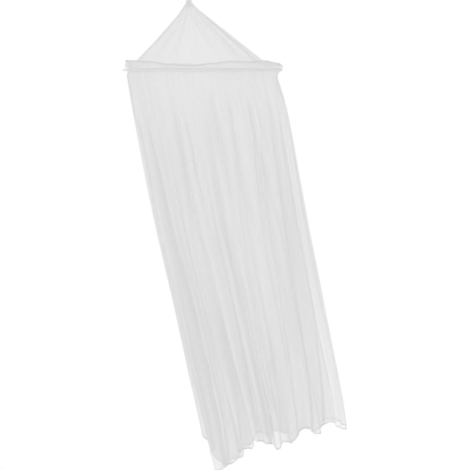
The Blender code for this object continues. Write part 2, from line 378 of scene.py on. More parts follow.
def net_material(name, openness, colour=(0.93, 0.93, 0.935)):
    """Knitted net with six-sided holes. openness is the share of it that is hole, seen straight on.

    The threads are round, so the holes close as the cloth turns edge-on, and where the cloth is
    gathered ("gather", how many times its own width) they close too.
    """
    n = Nodes(name)
    cloth = n.put("ShaderNodeUVMap", uv_map="UVMap").outputs[0]
    turn = (0.0, 0.0, radians(WEAVE_TURN))
    flat = n.put("ShaderNodeMapping", {"Vector": cloth, "Rotation": turn}).outputs[0]
    # the knit is soft, so its rows wander a little
    wander = n.vector("SUBTRACT", n.noise(flat, 120.0, 2.0).outputs["Color"], (0.5, 0.5, 0.5))
    wander = n.vector("MULTIPLY", wander, (MESH_PITCH, MESH_PITCH, 0.0))
    pitches = (1 / MESH_PITCH, 1 / MESH_PITCH, 0.0)
    cell = n.vector("MULTIPLY", n.vector("ADD", flat, wander), pitches)
    size, half = (1.0, 3**0.5, 1.0), (0.5, 3**0.5 / 2, 0.5)

    def from_hole(place):
        """Distance from the middle of a six-sided hole to a place in its cell, 0.5 on its sides."""
        wrapped = n.vector("WRAP", place, size)
        wrapped.node.inputs[2].default_value = (0.0, 0.0, 0.0)  # the cell's lower corner
        bent = n.vector("ABSOLUTE", n.vector("SUBTRACT", wrapped, half))
        slant = n.vector("DOT_PRODUCT", bent, (0.5, 3**0.5 / 2, 0.0), out=1)
        side = n.put("ShaderNodeSeparateXYZ", {"Vector": bent}).outputs[0]
        return n.math("MAXIMUM", slant, side)

    # the nearer of two crossed grids of holes
    near = n.math("MINIMUM", from_hole(cell), from_hole(n.vector("ADD", cell, half)))
    facing = n.put("ShaderNodeLayerWeight", {"Blend": 0.5}).outputs["Facing"]
    squarely = n.math("MAXIMUM", n.math("SUBTRACT", 1.0, facing), LEAST_FACING)
    gather = n.put("ShaderNodeAttribute", attribute_name="gather").outputs["Fac"]
    # threads that run up the turned cloth close in, those across it don't
    closing = n.math("ADD", CLOSES, n.math("DIVIDE", CLOSES_ASLANT, squarely))
    power = n.math("MULTIPLY", gather, closing)
    hole = n.math("MULTIPLY", 0.5, n.math("POWER", openness, power))
    inside = n.math("SUBTRACT", near, n.math("SUBTRACT", hole, THREAD_RIM))
    thread = n.math("DIVIDE", inside, 2 * THREAD_RIM, clamp=True)
    # threads vary a little in brightness along the knit
    fleck = n.noise(flat, 900.0, 1.0).outputs["Fac"]
    shade = n.put("ShaderNodeMix", {"Factor": fleck}, data_type="RGBA")
    ends = {socket.identifier: socket for socket in (*shade.inputs, *shade.outputs)}
    ends["A_Color"].default_value = (*[c * (1 - FLECK) for c in colour], 1)
    ends["B_Color"].default_value = (*[min(1, c * (1 + FLECK)) for c in colour], 1)
    n.set(
        Base_Color=ends["Result_Color"],
        Roughness=0.72,
        Specular_IOR_Level=0.3,
        Sheen_Weight=0.12,
        Sheen_Roughness=0.5,
        Alpha=thread,
        Normal=n.bumps(near, 0.0004, 0.35),
    )
    return n.material


def plastic_material(name):
    """Milky white plastic, a little uneven from its mould."""
    n = Nodes(name)
    place = n.put("ShaderNodeTexCoord").outputs["Object"]
    fine = n.noise(place, 260.0, 3.0).outputs["Fac"]
    n.set(
        Base_Color=(0.97, 0.97, 0.965, 1),
        Roughness=n.math("MULTIPLY_ADD", fine, 0.16, 0.34),
        Subsurface_Weight=0.9,
        Subsurface_Radius=(0.006, 0.006, 0.006),
        Subsurface_Scale=1.0,
        Normal=n.bumps(fine, 0.0001, 0.3),
    )
    return n.material


def cord_material(name):
    """Twisted cord: fine fibres along each strand, loose enough to let some light through."""
    n = Nodes(name)
    flat = n.put("ShaderNodeUVMap", uv_map="UVMap").outputs[0]
    fibres = n.noise(n.vector("MULTIPLY", flat, (6000.0, 900.0, 0.0)), 1.0, 3.0).outputs["Fac"]
    shade = n.put("ShaderNodeValToRGB", {"Fac": fibres})
    dark, light = shade.color_ramp.elements
    dark.position, dark.color = 0.3, (0.92, 0.92, 0.925, 1)
    light.position, light.color = 0.7, (0.98, 0.98, 0.985, 1)
    n.set(
        Base_Color=shade.outputs[0],
        Roughness=0.8,
        Sheen_Weight=0.2,
        Alpha=n.math("MULTIPLY_ADD", fibres, 0.5, 0.22, clamp=True),
        Normal=n.bumps(fibres, 0.0003, 0.6),
    )
    return n.material


NET = net_material("net", 0.515)
TENT_NET = net_material("tent_net", 0.70)
CASING_NET = net_material("casing_net", 0.82, (0.95, 0.95, 0.955))
HEM_NET = net_material("hem_net", 0.62)
SEAM_NET = net_material("seam_net", 0.80)
CORD = cord_material("loop_cord")
PLASTIC = plastic_material("hoop_plastic")

# ---------------------------------------------------------------------------------------------
# Skirt

SKIRT_COLUMNS = 1200
SKIRT_WIDTHS = 4  # of net, sewn together
WIDTH_STEP = 1.3  # metres of weave from one width to the next
HEAD_DROPS = (-0.006, 0.006)  # of the first two rows, which lie straight along the rod
SKIRT_ROWS = ((0, 0.04, 7), (0.04, 0.93, 58), (0.93, 1, 17))  # closer at the head and the hem
FLAP_ANGLE, FLAP_REACH = 4, 36  # where the cloth hangs nearly flat, and how far each way
FLAP_FLAT = 0.6  # share of the folds' depth that the flap loses
CALM_ANGLE, CALM_REACH = 322, 34  # where the folds flatten most towards the hem
PLAIN_ANGLE, PLAIN_REACH = 208, 42  # where the streaks under the rod are faint
VALLEY_SHAPE = 1.35  # over 1, the valleys are narrower than the crests
CREASE_RADIUS = 0.27  # turns the creases' angles into metres
CREASE_KEYS = (0, 0.25, 0.5, 0.75, 1.0)
CREASE_FADE = 0.08  # share of the drop over which a crease begins and ends
DEEP_CREASE = 0.012  # the cloth is fully bunched in creases from this depth on
HEM_HALF_WIDTH, HEM_HALF_THICK = 0.0028, 0.0008

SWELL = Grain(11, 20, 4, 0.026)  # added to FOLD_SWELL, so no two folds are alike
SMALL_FOLDS = Grain(3, 96, 5, 0.0032)
WRINKLES = Grain(5, 210, 4, 0.0017)
HEAD_GATHERS = Grain(8, 220, 3, 0.0024)
FINE_GATHERS = Grain(9, 300, 3, 0.0010)
HEM_FLUTTER = Grain(21, 90, 1, 0.0050)
HEM_RISE = Grain(22, 150, 1, 0.0020)
BROAD_STREAKS = Grain(71, 150, 3, 0.10)
FINE_STREAKS = Grain(72, 380, 1, 0.14)
STREAK_STRENGTH = Grain(73, 60, 5, 0.5)

# Creases of the skirt that the big folds don't give: angle at five drops (shares 0, 0.25, 0.5,
# 0.75 and 1), share where it begins and ends, half width and depth in metres (below 0: a ridge)
SKIRT_CREASES = np.array(
    [
        (206, 211, 213, 210, 213, 0.10, 0.97, 0.0085, 0.0160),
        (216, 219, 218, 216, 216, 0.15, 0.70, 0.0060, 0.0070),
        (195, 195, 195, 210, 230, 0.64, 0.86, 0.0045, 0.0090),
        (243, 241, 237, 235, 238, 0.08, 0.90, 0.0065, 0.0150),
        (232, 234, 233, 228, 228, 0.20, 0.60, 0.0060, -0.0060),
        (247, 246, 243, 242, 246, 0.10, 0.50, 0.0060, -0.0060),
        (251, 251, 254, 255, 255, 0.08, 0.42, 0.0060, 0.0130),
        (246, 246, 246, 244, 246, 0.46, 0.92, 0.0075, 0.0110),
        (256, 256, 256, 257, 261, 0.40, 0.95, 0.0080, 0.0080),
        (262, 264, 265, 266, 270, 0.12, 0.54, 0.0080, 0.0105),
        (268, 268, 268, 271, 278, 0.50, 0.95, 0.0075, 0.0120),
        (268, 269, 271, 277, 280, 0.15, 0.70, 0.0060, -0.0050),
        (274, 274, 274, 276, 277, 0.03, 0.38, 0.0080, 0.0120),
        (286, 286, 287, 286, 286, 0.04, 0.46, 0.0080, 0.0110),
        (291, 291, 291, 290, 290, 0.06, 0.50, 0.0060, -0.0050),
        (291, 291, 291, 282, 267, 0.58, 0.88, 0.0055, 0.0100),
        (285, 286, 288, 286, 286, 0.80, 0.98, 0.0080, 0.0080),
        (304, 299, 293, 296, 297, 0.05, 0.88, 0.0055, 0.0120),
        (309, 304, 298, 301, 302, 0.05, 0.88, 0.0055, -0.0080),
        (305, 313, 316, 316, 316, 0.05, 0.26, 0.0050, 0.0055),
        (303, 305, 311, 309, 309, 0.17, 0.90, 0.0080, 0.0110),
        (335, 331, 330, 329, 330, 0.10, 0.58, 0.0080, 0.0120),
        (338, 338, 334, 330, 334, 0.42, 0.92, 0.0090, 0.0080),
        (321, 319, 319, 318, 318, 0.10, 0.60, 0.0080, 0.0080),
        (20, 22, 24, 26, 28, 0.10, 0.90, 0.0120, 0.0050),
        (58, 55, 57, 60, 60, 0.05, 0.80, 0.0090, 0.0120),
        (76, 78, 80, 77, 76, 0.20, 0.95, 0.0090, 0.0070),
        (94, 95, 97, 95, 94, 0.05, 0.70, 0.0090, 0.0120),
        (118, 119, 120, 121, 120, 0.10, 0.95, 0.0110, 0.0050),
        (131, 130, 133, 132, 131, 0.15, 0.85, 0.0080, 0.0120),
        (150, 152, 150, 153, 154, 0.05, 0.90, 0.0085, 0.0100),
        (170, 172, 174, 174, 175, 0.10, 0.95, 0.0080, 0.0110),
        (190, 192, 194, 194, 196, 0.10, 0.90, 0.0070, 0.0090),
    ]
)

# Where the skirt's fullness lies packed closer or is drawn wider: angle and drop share of the
# middle, half the reach in degrees and in drop share, share of the reach over which it fades, and
# how many times as close
SKIRT_PACKING = np.array(
    [
        (182, 0.28, 30, 0.85, 0.6, 0.50),
        (180, 1.05, 30, 0.32, 0.6, 0.60),
        (188, 0.04, 16, 0.12, 0.6, 1.70),
        (176, 0.45, 6, 0.85, 0.6, 1.60),
        (187, 0.45, 4, 0.55, 1.0, 1.20),
        (198, 0.40, 8, 0.52, 0.5, 0.42),
        (155, 0.42, 8, 0.50, 0.5, 0.55),
        (145, 0.48, 7, 0.45, 0.6, 1.40),
        (211, 0.48, 7, 0.45, 0.6, 1.70),
        (2, 0.30, 16, 0.45, 0.5, 0.58),
        (269, 0.54, 4, 0.14, 1.0, 0.74),
        (297, 0.68, 4, 0.12, 1.0, 0.76),
        (262, 0.97, 4, 0.09, 1.0, 1.40),
        (331, 0.17, 7, 0.14, 1.0, 1.35),
        (198, 0.72, 7, 0.18, 1.0, 0.74),
        (208, 0.38, 8, 0.34, 1.0, 1.85),
        (214, 0.93, 7, 0.18, 1.0, 1.90),
        (217, 0.64, 9, 0.34, 1.0, 1.35),
        (220, 0.56, 6, 0.32, 1.0, 1.35),
        (227, 1.00, 6, 0.12, 1.0, 0.70),
        (234, 0.68, 15, 0.26, 1.0, 1.85),
        (245, 0.38, 10, 0.46, 1.0, 1.45),
        (255, 0.60, 5, 0.20, 1.0, 0.85),
        (248, 0.62, 6, 0.24, 0.8, 1.20),
        (198, 0.04, 8, 0.08, 1.0, 1.35),
        (203, 0.20, 8, 0.14, 1.0, 1.30),
        (206, 0.44, 7, 0.32, 0.8, 1.45),
        (201, 0.40, 4, 0.36, 0.8, 0.55),
        (159, 0.40, 4, 0.36, 0.8, 0.55),
        (181, 0.50, 5, 0.50, 0.8, 1.50),
        (209, 0.50, 4, 0.30, 0.8, 1.40),
        (151, 0.50, 4, 0.30, 0.8, 1.40),
        (224, 0.62, 5, 0.20, 0.8, 0.90),
        (300, 0.15, 6, 0.16, 0.8, 0.92),
        (311, 0.10, 6, 0.12, 0.8, 0.80),
        (228, 0.40, 6, 0.20, 0.8, 0.88),
        (248, 0.52, 5, 0.14, 0.8, 1.20),
        (250, 0.66, 5, 0.26, 0.8, 1.30),
        (266, 0.56, 4, 0.16, 0.8, 0.85),
        (318, 0.60, 6, 0.20, 0.8, 1.15),
        (214, 0.88, 6, 0.14, 0.8, 1.15),
        (201, 0.78, 7, 0.14, 0.8, 0.80),
        (269, 0.84, 6, 0.16, 0.8, 1.25),
        (297, 0.86, 7, 0.18, 0.8, 0.88),
        (214, 0.92, 6, 0.10, 0.8, 1.25),
        (208, 1.00, 9, 0.05, 0.8, 0.70),
        (185, 0.50, 9, 0.80, 0.8, 0.80),
        (114, 0.60, 9, 0.24, 0.8, 0.66),
        (222, 0.71, 17, 0.14, 0.7, 1.22),
        (277, 0.53, 20, 0.17, 0.6, 0.86),
        (248, 0.98, 8, 0.16, 1.0, 0.75),
        (262, 0.42, 7, 0.34, 1.0, 1.45),
        (274, 0.18, 8, 0.22, 1.0, 1.30),
        (276, 0.28, 5, 0.14, 1.0, 1.25),
        (282, 0.64, 13, 0.26, 1.0, 0.66),
        (297, 0.72, 7, 0.40, 1.0, 0.56),
        (305, 0.68, 7, 0.26, 0.7, 2.30),
        (317, 0.54, 9, 0.30, 1.0, 1.85),
        (324, 0.38, 7, 0.34, 0.8, 2.00),
        (320, 0.05, 12, 0.12, 1.0, 0.62),
        (337, 0.48, 10, 0.32, 1.0, 1.50),
        (330, 0.79, 5, 0.10, 1.0, 0.72),
        (361, 0.24, 37, 0.62, 0.3, 0.60),
        (361, 1.00, 36, 0.75, 0.22, 0.38),
    ]
)

# The hem as it is cut and rolled, all round: angle, drop below the hoop
HEM_DROPS = np.array(
    [
        (0, 1.362), (5.5, 1.368), (16, 1.370), (26, 1.364), (37, 1.360), (43, 1.372),
        (47, 1.394), (50, 1.414), (56, 1.416), (57.5, 1.406), (63.5, 1.408), (69.5, 1.432),
        (73, 1.450), (75.5, 1.460), (78, 1.462), (79, 1.424), (92, 1.424), (93, 1.436),
        (94.8, 1.470), (96.5, 1.438), (102.5, 1.428), (107.5, 1.428), (111, 1.446),
        (114.5, 1.474), (118, 1.480), (120, 1.454), (122, 1.484), (125.5, 1.506), (129.5, 1.520),
        (137.5, 1.528), (144.5, 1.536), (152, 1.512), (159, 1.480), (171.5, 1.438), (180, 1.400),
        (186, 1.396), (192, 1.428), (199, 1.446), (204, 1.464), (206, 1.520), (210, 1.520),
        (214, 1.508), (218, 1.494), (224.5, 1.490), (228, 1.486), (230, 1.474), (232, 1.456),
        (235.5, 1.440), (241.5, 1.430), (244, 1.424), (246.5, 1.430), (249, 1.412),
        (251.5, 1.388), (254, 1.386), (258.5, 1.398), (263, 1.396), (267, 1.406), (268.5, 1.414),
        (270.5, 1.421), (273.5, 1.412), (277, 1.400), (282, 1.398), (285, 1.384), (289.5, 1.366),
        (295.5, 1.350), (300, 1.348), (302, 1.366), (308.5, 1.369), (311, 1.348), (320, 1.329),
        (325.5, 1.333), (333.5, 1.354), (345, 1.371), (349, 1.376), (354, 1.374),
    ]
)  # fmt: skip


def packing(angle, share):
    """How many times as close the skirt's cloth lies, by its packing table."""
    total = np.zeros(np.broadcast(angle, share).shape)
    for middle, at, reach, high, soft, times in SKIRT_PACKING:
        off = np.abs(away_from(angle, middle) / reach)
        total += np.log(times) * eased((1 - off) / soft) * bump((share - at) / high)
    return np.exp(total)


def crease_lines(angle, share):
    """How far each point lies inward in the skirt's creases, and how bunched its cloth is."""
    total = np.zeros(np.broadcast(angle, share).shape)
    bunched = np.zeros_like(total)
    for *line, begin, end, width, depth in SKIRT_CREASES:
        middle = np.interp(share, CREASE_KEYS, line)
        off = away_from(angle, middle) * CREASE_RADIUS * pi / 180
        begun = eased((share - begin) / CREASE_FADE)
        ended = eased((share - end + CREASE_FADE) / CREASE_FADE)
        wide = width * mixed(0.75, 1.5, share)
        here = np.exp(-((off / wide) ** 2)) * (begun * (1 - ended))
        total += depth * here
        bunched += np.clip(depth / DEEP_CREASE, -1, 1) * here
    return total, bunched


def skirt_surface():
    """The skirt's points, rows by columns from its head to its hem.

    Also each row's share of the drop, each point's angle, and how bunched the cloth is there.
    """
    parts = [np.linspace(*part)[1:] for part in SKIRT_ROWS]
    s = np.concatenate([[0, 0], *parts])[:, None]
    count = len(FOLDS)
    position = np.arange(SKIRT_COLUMNS) / SKIRT_COLUMNS * count
    index = position.astype(int)
    t, p = position - index, position[None, :] / count
    this, following = FOLDS[index].T, FOLDS[(index + 1) % count].T
    turn = np.where(index + 1 == count, 360, 0)

    # the big folds, from crest to crest
    crest = mixed(this[0], this[1], s)
    next_crest = mixed(following[0], following[1], s) + turn
    swell = FOLD_SWELL + SWELL.at(p, s)
    swollen = t + swell * np.sin(2 * tau * t) * eased(s * 2)
    valley = (1 - np.cos(tau * t)) / 2
    cloth_drop = mixed(np.where(t < 0.5, this[4], following[4]), this[5], valley)
    depth, start = mixed(this[3], following[3], t), mixed(this[2], following[2], t)
    drop = cloth_drop * s
    drop[:2] = np.array(HEAD_DROPS)[:, None]
    grown = np.maximum(0, (drop - start) / (cloth_drop - start)) ** FOLD_GROWTH
    angle = mixed(crest, next_crest, swollen) - FOLD_BOW * np.sin(pi * s)
    near_flap = eased((1 - np.abs(away_from(angle, FLAP_ANGLE)) / FLAP_REACH) / 0.3)
    inward = depth * grown * valley**VALLEY_SHAPE
    inward = inward * (1 - FLAP_FLAT * near_flap * eased((s - 0.25) / 0.35))
    calm = 0.12 + 0.25 * bump((angle - CALM_ANGLE) / CALM_REACH)
    inward = inward * (1 - calm * eased((s - 0.5) / 0.5))

    # creases, finer folds between the main ones, and small wrinkles on all of them
    free = eased((drop - 0.004) / 0.10)
    creased, bunched = crease_lines(angle, s)
    inward = inward + creased * free
    inward = inward + SMALL_FOLDS.at(p + 0.010 * s, s) * free * (0.45 + 0.55 * s)
    inward = inward + WRINKLES.at(p - 0.006 * s, s) * free
    gathers = eased((drop + 0.004) / 0.02) * (1 - 0.75 * eased((drop - 0.02) / 0.5))
    inward = inward + HEAD_GATHERS.at(p, s) * gathers
    inward = inward - FINE_GATHERS.at(p, s) * gathers

    # the hem flutters, and follows its own drops
    hem = eased((s - 0.92) / 0.08)
    inward = inward + HEM_FLUTTER.at(p, s) * hem
    drop = drop + (round_hoop(HEM_DROPS, angle) - cloth_drop) * eased((s - 0.84) / 0.16)
    drop = drop + HEM_RISE.at(p) * hem

    middle, half_width, half_depth = section_at(drop)
    a = np.radians(angle)
    x = middle + (half_width - inward) * np.cos(a)
    y = (half_depth - inward) * np.sin(a)
    return np.stack([x, y, HOOP_Z - drop], -1), s, angle, bunched


def skirt_weave(points):
    """The weave's coordinates: even at every height, in widths that are sewn together."""
    cols = points.shape[1]
    c = np.arange(cols + 1)
    width = np.minimum(c * SKIRT_WIDTHS // cols, SKIRT_WIDTHS - 1)
    from_middle = c / cols - (width + 0.5) / SKIRT_WIDTHS
    u = from_middle[None, :] * length_round(points)[:, None] + width * WIDTH_STEP
    return weave_at(u, length_down(points))


def skirt_gather(share, angle, bunched):
    """How many times its own width the skirt is gathered, at each point."""
    p = np.arange(SKIRT_COLUMNS)[None, :] / SKIRT_COLUMNS
    plain = bump((angle - PLAIN_ANGLE) / PLAIN_REACH) * (1 - eased((share - 0.1) / 0.12))
    lively = mixed(1.5, 0.5, eased((share - 0.30) / 0.6)) * (1 - 0.65 * plain)
    times = 1.0 + BROAD_STREAKS.at(p, share) * lively
    times = times + FINE_STREAKS.at(p, share) * (0.5 + STREAK_STRENGTH.at(p, share)) * lively
    times = times * mixed(0.86, 1.0, eased(share / 0.22)) * packing(angle, share)
    times = times * np.maximum(1 + 0.42 * lively * bunched, 0.5)
    times[:2] *= 0.6  # the top edge is stretched along the rod
    return times


skirt_points, *skirt_folds = skirt_surface()
skirt_uv = skirt_weave(skirt_points)
skirt = sheet_mesh("skirt_net", skirt_points, skirt_uv, NET, skirt_gather(*skirt_folds))
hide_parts("skirt")
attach(skirt, "root")

edge = skirt_points[-1]
up = unit(skirt_points[-4] - edge)
out = normals_of(skirt_points)[-1]
hem_path = edge + up * HEM_HALF_WIDTH
hem = tube_mesh("skirt_hem", hem_path, up, out, HEM_HALF_WIDTH, HEM_HALF_THICK, HEM_NET)
set_gather(hem.data, 1.0)
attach(hem, "root")

# ---------------------------------------------------------------------------------------------
# Tent top

TENT_COLUMNS = 432
FACE_STEP = 0.7  # metres of weave from one face to the next
TENT_EDGE = HOOP_RADIUS + CLOTH / 2  # radius of its edge in the casing
TENT_DEEP_CREASE = 0.008
RUMPLED_ANGLE, RUMPLED_REACH = 303, 24  # where small wrinkles are packed closer
OPEN_ANGLE, OPEN_REACH = 3, 46  # where the shelf and the edge are drawn wide
SEAM_ROWS = np.arange(6, 60)  # from under the neck to the end of the taut faces
SEAM_HALF_WIDTH, SEAM_HALF_THICK = 0.0012, 0.0006

NECK_GRAIN = Grain(31, 60, 1, 0.0009)
NECK_FRILL = Grain(33, 48, 1, 0.0016)
NECK_FOLDS = Grain(41, 64, 3, 0.0030)
TENT_WRINKLES = Grain(43, 130, 6, 0.0013)
EDGE_SLACK = Grain(47, 70, 3, 0.0020)
SHELF_FOLDS = Grain(53, 110, 2, 0.0016)
RUMPLES = Grain(57, 130, 16, 0.22)

# Creases of the top, from the neck down: angle where it starts and ends, share of the way down
# where it starts and ends, half width in degrees, depth in metres (below 0 is a ridge)
TENT_CREASES = np.array(
    [
        (270, 288, 0.06, 0.80, 4.5, 0.0105),
        (277, 294, 0.10, 0.60, 2.5, -0.0040),
        (312, 302, 0.25, 1.00, 4.0, 0.0090),
        (306, 296, 0.45, 1.00, 3.0, -0.0040),
        (300, 309, 0.60, 1.00, 2.5, 0.0045),
        (331, 326, 0.05, 1.00, 5.0, 0.0080),
        (252, 250, 0.02, 0.50, 3.0, 0.0040),
        (236, 238, 0.66, 1.00, 3.0, 0.0040),
        (228, 226, 0.60, 1.00, 2.5, -0.0030),
        (254, 266, 0.55, 1.00, 3.0, 0.0050),
        (220, 222, 0.00, 0.60, 5.0, 0.0040),
        (60, 56, 0.05, 1.00, 6.0, 0.0040),
        (95, 92, 0.00, 0.80, 5.0, 0.0060),
        (134, 136, 0.10, 1.00, 6.0, 0.0065),
        (170, 172, 0.00, 0.70, 7.0, 0.0060),
        (190, 187, 0.20, 1.00, 6.0, 0.0045),
        (10, 14, 0.05, 1.00, 6.0, 0.0060),
        (344, 340, 0.00, 0.85, 6.0, 0.0055),
    ]
)

# Where the top is drawn closer: angle where the band starts and ends, half its width in degrees,
# share of the way down where it starts and ends, share of its width that fades, how many times
# as close
TENT_PACKING = (
    (290, 284, 7, 0.02, 0.85, 0.6, 1.55),
    (309, 300, 9, 0.02, 1.00, 0.6, 1.50),
    (331, 327, 10, 0.10, 1.10, 0.6, 0.80),
    (180, 180, 32, -0.60, 1.80, 0.6, 1.12),
    (252, 248, 4, -0.10, 1.00, 0.6, 1.20),
    (262, 272, 4, 0.45, 1.10, 0.6, 1.22),
    (228, 230, 5, 0.60, 1.30, 0.6, 1.15),
)


def face_share(angle):
    """How far out a flat face between two taut lines lies, as a share of the lines' reach."""
    lines = np.array([TAUT_ANGLES[-1] - 360, *TAUT_ANGLES, TAUT_ANGLES[0] + 360], float)
    i = np.clip(np.searchsorted(lines, angle, side="right") - 1, 0, len(lines) - 2)
    half = np.radians(lines[i + 1] - lines[i]) / 2
    return np.cos(half) / np.cos(np.radians(angle - (lines[i] + lines[i + 1]) / 2))


def tent_packing(angle, share):
    """How many times as close the top's cloth lies, by its packing table and its rumples."""
    total = np.zeros(np.broadcast(angle, share).shape)
    for a0, a1, reach, d0, d1, soft, times in TENT_PACKING:
        t = np.clip((share - d0) / (d1 - d0), 0, 1)
        off = np.abs(away_from(angle, mixed(a0, a1, t)) / reach)
        total += np.log(times) * eased((1 - off) / soft) * np.sin(pi * t) ** 0.5
    rumpled = bump((angle - RUMPLED_ANGLE) / RUMPLED_REACH) * eased((share - 0.35) / 0.3)
    total += RUMPLES.at(angle / 360, share) * rumpled
    return np.exp(total)


def tent_surface():
    """The top's points, rows by columns from its neck to its edge in the casing.

    Also each row's share of the way down, the columns' angles, and how bunched the cloth is.
    """
    angle = np.arange(TENT_COLUMNS) / TENT_COLUMNS * 360.0
    p = angle / 360
    pleat = (1 - np.cos(np.radians(PLEATS * angle))) / 2
    fine = NECK_GRAIN.at(p)
    rings = [ring_of(angle, mixed(valley, crest, pleat) + fine, z) for z, crest, valley in NECK]
    rings[0][:, 2] += NECK_FRILL.at(p)

    # flat faces between the taut lines, down from the last of the neck's rings
    top, crest, valley = NECK[-1]
    neck = mixed(valley, crest, pleat) + fine
    down = np.concatenate([np.linspace(0.004, 0.1, 12), np.linspace(0.1, 1.0, 46)[1:]])[:, None]
    z = mixed(top, HOOP_Z + band_height(angle), down)
    slack_side = np.maximum(0, -np.cos(np.radians(angle)))
    sag = TENT_SAG * 4 * down * (1 - down) * eased((down - SAG_START) / 0.2) * slack_side
    taut = TENT_EDGE * CHORD_SHARE * down - sag
    flat = taut * mixed(1, face_share(angle), eased(down / 0.08))

    # creases and small folds, which end at the casing
    depth, bunched = np.zeros_like(flat), np.zeros_like(flat)
    for a0, a1, d0, d1, width, deep in TENT_CREASES:
        off = away_from(angle, mixed(a0, a1, down))
        t = np.clip((down - d0) / (d1 - d0), 0, 1)
        here = bump(off / width) * np.where((t > 0) & (t < 1), np.sin(pi * t) ** 0.7, 0)
        depth += deep * here
        bunched += deep / TENT_DEEP_CREASE * here
    gathered = NECK_FOLDS.at(p, down) * bump((down - 0.10) / 0.30)
    wrinkles = TENT_WRINKLES.at(p + down * 0.01, down) * eased(down * 5)
    slack = EDGE_SLACK.at(p, down) * eased((down - 0.72) / 0.28)
    inward = (depth + gathered + wrinkles + slack) * (1 - eased((down - 0.97) / 0.03))
    radius = np.sqrt((neck * (1 - down)) ** 2 + np.maximum(flat - inward, 0.002) ** 2)
    rings += list(ring_of(angle, radius, z, HOOP_X * down))

    # the slack shelf between a taut face and the casing, then the edge down inside the casing
    last = rings[-1]
    inner = np.hypot(last[:, 0] - HOOP_X, last[:, 1])
    slope = (TENT_EDGE - inner) / TENT_EDGE
    for part in (0.25, 0.5, 0.75):
        drop = SHELF_SAG * np.minimum(1, slope / 0.1) * (4 * part * (1 - part))
        drop = drop + SHELF_FOLDS.at(p, part) * np.minimum(1, slope / 0.05)
        rings.append(ring_of(angle, mixed(inner, TENT_EDGE, part), last[:, 2] - drop, HOOP_X))
    for rise in (0.001, -0.003, -0.0055):
        rings.append(ring_of(angle, TENT_EDGE, HOOP_Z + band_height(angle) + rise, HOOP_X))

    lead, tail = len(NECK), len(rings) - len(NECK) - len(bunched)
    share = np.concatenate([np.zeros(lead), down[:, 0], np.ones(tail)])[:, None]
    return np.array(rings), share, angle, np.pad(bunched, ((lead, tail), (0, 0)))


def tent_weave(points):
    """The weave's coordinates: straight down the middle of each face, as each is cut alone."""
    cols = points.shape[1]
    lines = np.array(TAUT_ANGLES)
    angle = np.arange(cols + 1) / cols * 360
    face = np.searchsorted(lines, angle, side="right") % len(lines)
    middle = (lines[face - 1] + (lines[face] - lines[face - 1]) % 360 / 2) % 360
    u = away_from(angle, middle)[None, :] / 360 * length_round(points)[:, None] + face * FACE_STEP
    return weave_at(u, length_down(points))


def tent_gather(points, share, angle, bunched):
    """How many times its own width the top is gathered: most where it is packed into the neck."""
    reach = np.linalg.norm(points - np.array([0, 0, NECK[0, 0]]), axis=2)
    below = eased((-points[..., 2] - 0.028) / 0.012)
    times = 0.85 + 0.15 * below + 0.024 / np.maximum(reach, 0.015) * below
    times = times * np.maximum(1 + 0.50 * bunched, 0.6) * tent_packing(angle, share)
    wide = eased((1 - np.abs(away_from(angle, OPEN_ANGLE)) / OPEN_REACH) / 0.3)
    return times * (1 - 0.6 * (share == 1) * wide)


tent_points, *tent_folds = tent_surface()
tent_uv = tent_weave(tent_points)
tent_times = tent_gather(tent_points, *tent_folds)
tent = sheet_mesh("tent_net", tent_points, tent_uv, TENT_NET, tent_times)
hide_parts("tent_top")
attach(tent, "root")

# felled seams along the taut lines
tent_out = normals_of(tent_points)
for i, line in enumerate(TAUT_ANGLES):
    column = int(round(line / 360 * TENT_COLUMNS)) % TENT_COLUMNS
    out = tent_out[SEAM_ROWS, column]
    path = tent_points[SEAM_ROWS, column] + out * SEAM_HALF_THICK
    across = unit(np.cross(unit(np.gradient(path, axis=0)), out))
    size = (SEAM_HALF_WIDTH, SEAM_HALF_THICK)
    seam = tube_mesh(f"tent_seam_{i + 1}", path, across, out, *size, SEAM_NET, 6, closed=False)
    set_gather(seam.data, 1.0)
    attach(seam, "root")

# ---------------------------------------------------------------------------------------------
# Casing

CASING_COLUMNS = 720
CASING_LIP = CLOTH / 2 + SEAT + CLOTH  # from the hoop's circle to each leaf, at their edges
LEAF_FOOT = 0.0045  # height at which each leaf meets the cloth round the rod
LEAF_STEPS = np.linspace(0, 1, 9)
ROUND_ROD = np.radians(np.arange(30, -211, -20))
OUTER_GAP = 0.0006  # by which the outer leaf stands off the seam
INNER_LOWER = 0.0055  # by which the inner leaf's edge is lower
ROD_SAG = 0.0012  # the cloth hangs a little clear of the rod
TAB_REACH = 1.25  # degrees
ENDS_ANGLE, ENDS_REACH = -14, 52  # where the leaves are drawn wide
FRILL_HALF_WIDTH, FRILL_HALF_THICK = 0.0020, 0.0009

FRILL = Grain(61, 70, 1, 0.0030)
FINE_FRILL = Grain(62, 150, 1, 0.0017)
OUTER_WAVE = Grain(63, 170, 2, 0.0018)
OUTER_FINE_WAVE = Grain(64, 330, 2, 0.0010)
PINCH = Grain(65, 260, 1, 0.0003)
INNER_WAVE = Grain(66, 150, 2, 0.0012)
MOTTLE = Grain(67, 90, 3, 0.66)


